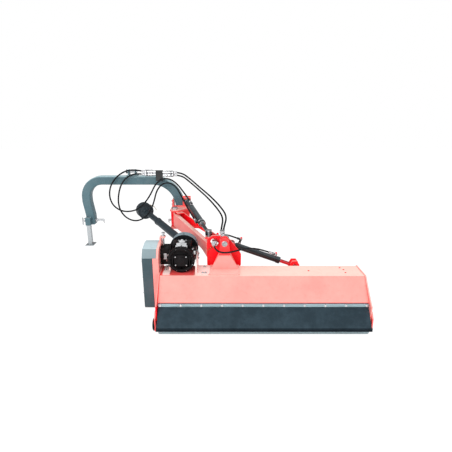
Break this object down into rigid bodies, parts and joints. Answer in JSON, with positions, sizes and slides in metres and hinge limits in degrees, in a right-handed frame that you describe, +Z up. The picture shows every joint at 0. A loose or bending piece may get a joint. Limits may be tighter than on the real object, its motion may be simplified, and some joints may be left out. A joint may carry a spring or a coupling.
{
  "type": "offset verge flail mower",
  "caption": "Offset flail mower: wide cutting head with roller, tilted and swung by hydraulic cylinders on an arm behind a three-point arch, driven through a guarded shaft.",
  "frame": {"origin": "on the ground under the middle of the bounding box", "axes": "+X to the machine's right along the cutting head, +Y the direction of travel, +Z up"},
  "size_m": [2.3663, 1.4889, 0.9763],
  "materials": {
    "red_paint": "glossy red enamel, paler where the light falls on it",
    "frame_paint": "dark blue-grey enamel",
    "cover_paint": "grey enamel on sheet steel",
    "black_paint": "satin black enamel",
    "cast_black": "black painted casting",
    "black_plastic": "black moulded guard",
    "guard_plastic": "grey moulded guard",
    "zinc": "zinc plated steel",
    "bare_steel": "mill-finish steel",
    "plated_steel": "plated couplers and rods",
    "galvanised": "galvanised steel",
    "flap_rubber": "sheet rubber",
    "hose_rubber": "hydraulic hose cover",
    "forged_steel": "forged steel"
  },
  "bodies": {
    "hitch_frame": {"arch_frame": "frame_paint", "frame_hinge_bracket": "red_paint", "top_link_bracket": "frame_paint", "top_link_pin": "zinc", "lower_link_pins": "zinc", "coupler_block": "black_paint", "hose_couplers": "plated_steel", "stand_socket": "frame_paint", "stand_lock_screw": "zinc", "swing_pin": "zinc", "swing_anchor_pin": "zinc", "feed_hose_left": "hose_rubber", "feed_hose_right": "hose_rubber", "loop_hose_outer": "hose_rubber", "loop_hose_inner": "hose_rubber"},
    "parking_stand": {"parking_stand": "galvanised"},
    "arm": {"arm_plate_near": "red_paint", "arm_plate_far": "red_paint", "arm_hub": "red_paint", "turret": "red_paint", "tilt_pivot_shaft": "zinc", "arm_cylinder_pins": "zinc", "hose_junction": "zinc", "tilt_hose_base": "hose_rubber", "tilt_hose_rod": "hose_rubber"},
    "swing_barrel": {"swing_barrel": "black_paint"},
    "swing_rod": {"swing_rod": "plated_steel"},
    "tilt_barrel": {"tilt_barrel": "black_paint"},
    "tilt_rod": {"tilt_rod": "plated_steel", "tilt_rod_pin": "zinc"},
    "head": {"housing_shell": "red_paint", "side_plate_left": "red_paint", "side_plate_right": "red_paint", "roller_brackets": "red_paint", "rubber_flap": "flap_rubber", "flap_strip": "bare_steel", "flap_bolts": "zinc", "pivot_bracket": "red_paint", "tilt_lugs": "red_paint", "rotor_bearings": "forged_steel", "belt_case": "red_paint", "belt_cover": "cover_paint", "drive_belts": "flap_rubber", "tensioner_screw": "zinc", "gearbox_housing": "cast_black", "gearbox_rear_cover": "cast_black", "gearbox_feet": "red_paint", "pto_guard": "guard_plastic"},
    "rear_roller": {"rear_roller": "bare_steel"},
    "rotor": {"rotor": "black_paint", "rotor_pulley": "forged_steel"},
    "upper_pulley": {"upper_pulley": "forged_steel"},
    "input_shaft": {"input_shaft": "bare_steel"},
    "flail_row_1": {"flail_row_1": "forged_steel"},
    "flail_row_2": {"flail_row_2": "forged_steel"},
    "flail_row_3": {"flail_row_3": "forged_steel"},
    "flail_row_4": {"flail_row_4": "forged_steel"},
    "front_flaps": {"front_flaps": "flap_rubber"},
    "driveshaft_rear": {"driveshaft_rear": "black_plastic"},
    "driveshaft_front": {"driveshaft_front": "black_plastic"}
  },
  "joints": [
    {"name": "stand_slide", "type": "slide", "parent": "hitch_frame", "child": "parking_stand", "axis": [0, 0, 1], "range_m": [0, 0.18]},
    {"name": "arm_swing", "type": "hinge", "parent": "hitch_frame", "child": "arm", "pos_m": [-0.2849, 0.3855, 0.54], "axis": [0, 0, 1], "range_deg": [-30, 10], "deforming": ["loop_hose_outer", "loop_hose_inner"]},
    {"name": "swing_barrel_turn", "type": "hinge", "parent": "hitch_frame", "child": "swing_barrel", "pos_m": [-0.1819, 0.4555, 0.69], "axis": [0, 0, 1], "range_deg": [-28.5, 9.8], "deforming": ["feed_hose_left", "feed_hose_right"]},
    {"name": "swing_rod_slide", "type": "slide", "parent": "swing_barrel", "child": "swing_rod", "axis": [0.3141, -0.9395, -0.1369], "range_m": [-0.021, 0.06]},
    {"name": "head_tilt", "type": "hinge", "parent": "arm", "child": "head", "pos_m": [0.1731, -0.3645, 0.563], "axis": [0, -1, 0], "range_deg": [-15, 60]},
    {"name": "tilt_barrel_turn", "type": "hinge", "parent": "arm", "child": "tilt_barrel", "pos_m": [0.2271, -0.2195, 0.494], "axis": [0, -1, 0], "range_deg": [-17, 66], "deforming": ["tilt_hose_base", "tilt_hose_rod"]},
    {"name": "tilt_rod_slide", "type": "slide", "parent": "tilt_barrel", "child": "tilt_rod", "axis": [0.9411, 0, -0.338], "range_m": [-0.0185, 0.0725]},
    {"name": "roller_spin", "type": "hinge", "parent": "head", "child": "rear_roller", "pos_m": [0.4381, -0.6645, 0.057], "axis": [1, 0, 0], "continuous": true},
    {"name": "rotor_spin", "type": "hinge", "parent": "head", "child": "rotor", "pos_m": [0.4381, -0.4145, 0.185], "axis": [1, 0, 0], "continuous": true},
    {"name": "pulley_spin", "type": "hinge", "parent": "head", "child": "upper_pulley", "pos_m": [-0.3519, -0.3445, 0.4705], "axis": [1, 0, 0], "continuous": true},
    {"name": "input_spin", "type": "hinge", "parent": "head", "child": "input_shaft", "pos_m": [-0.1359, -0.3445, 0.4705], "axis": [0, 0.9962, 0.0872], "continuous": true},
    {"name": "flail_swing_1", "type": "hinge", "parent": "rotor", "child": "flail_row_1", "pos_m": [0.4381, -0.35086, 0.24864], "axis": [1, 0, 0], "range_deg": [-2, 272]},
    {"name": "flail_swing_2", "type": "hinge", "parent": "rotor", "child": "flail_row_2", "pos_m": [0.4381, -0.47814, 0.24864], "axis": [1, 0, 0], "range_deg": [-272, 2]},
    {"name": "flail_swing_3", "type": "hinge", "parent": "rotor", "child": "flail_row_3", "pos_m": [0.4381, -0.47814, 0.12136], "axis": [1, 0, 0], "range_deg": [-182, 92]},
    {"name": "flail_swing_4", "type": "hinge", "parent": "rotor", "child": "flail_row_4", "pos_m": [0.4381, -0.35086, 0.12136], "axis": [1, 0, 0], "range_deg": [-92, 182]},
    {"name": "front_flaps_swing", "type": "hinge", "parent": "head", "child": "front_flaps", "pos_m": [0.4381, -0.1705, 0.182], "axis": [1, 0, 0], "range_deg": [-25, 75]},
    {"name": "driveshaft_roll", "type": "hinge", "parent": "head", "child": "driveshaft_rear", "pos_m": [-0.1359, -0.18013, 0.48488], "axis": [0, 0.9962, 0.0872], "range_deg": [-16, 61]},
    {"name": "driveshaft_slide", "type": "slide", "parent": "driveshaft_rear", "child": "driveshaft_front", "axis": [-0.5137, 0.855, 0.0715], "range_m": [-0.12, 0.1]}
  ],
  "couplings": [
    {"joint": "swing_barrel_turn", "follows": "arm_swing", "ratio": 0.9315},
    {"joint": "swing_rod_slide", "follows": "arm_swing", "m_per_rad": -0.1122},
    {"joint": "tilt_barrel_turn", "follows": "head_tilt", "ratio": 1.0859},
    {"joint": "tilt_rod_slide", "follows": "head_tilt", "m_per_rad": 0.06874},
    {"joint": "driveshaft_roll", "follows": "head_tilt", "ratio": 1},
    {"joint": "pulley_spin", "follows": "rotor_spin", "ratio": 0.75},
    {"joint": "input_spin", "follows": "rotor_spin", "ratio": 0.25}
  ]
}
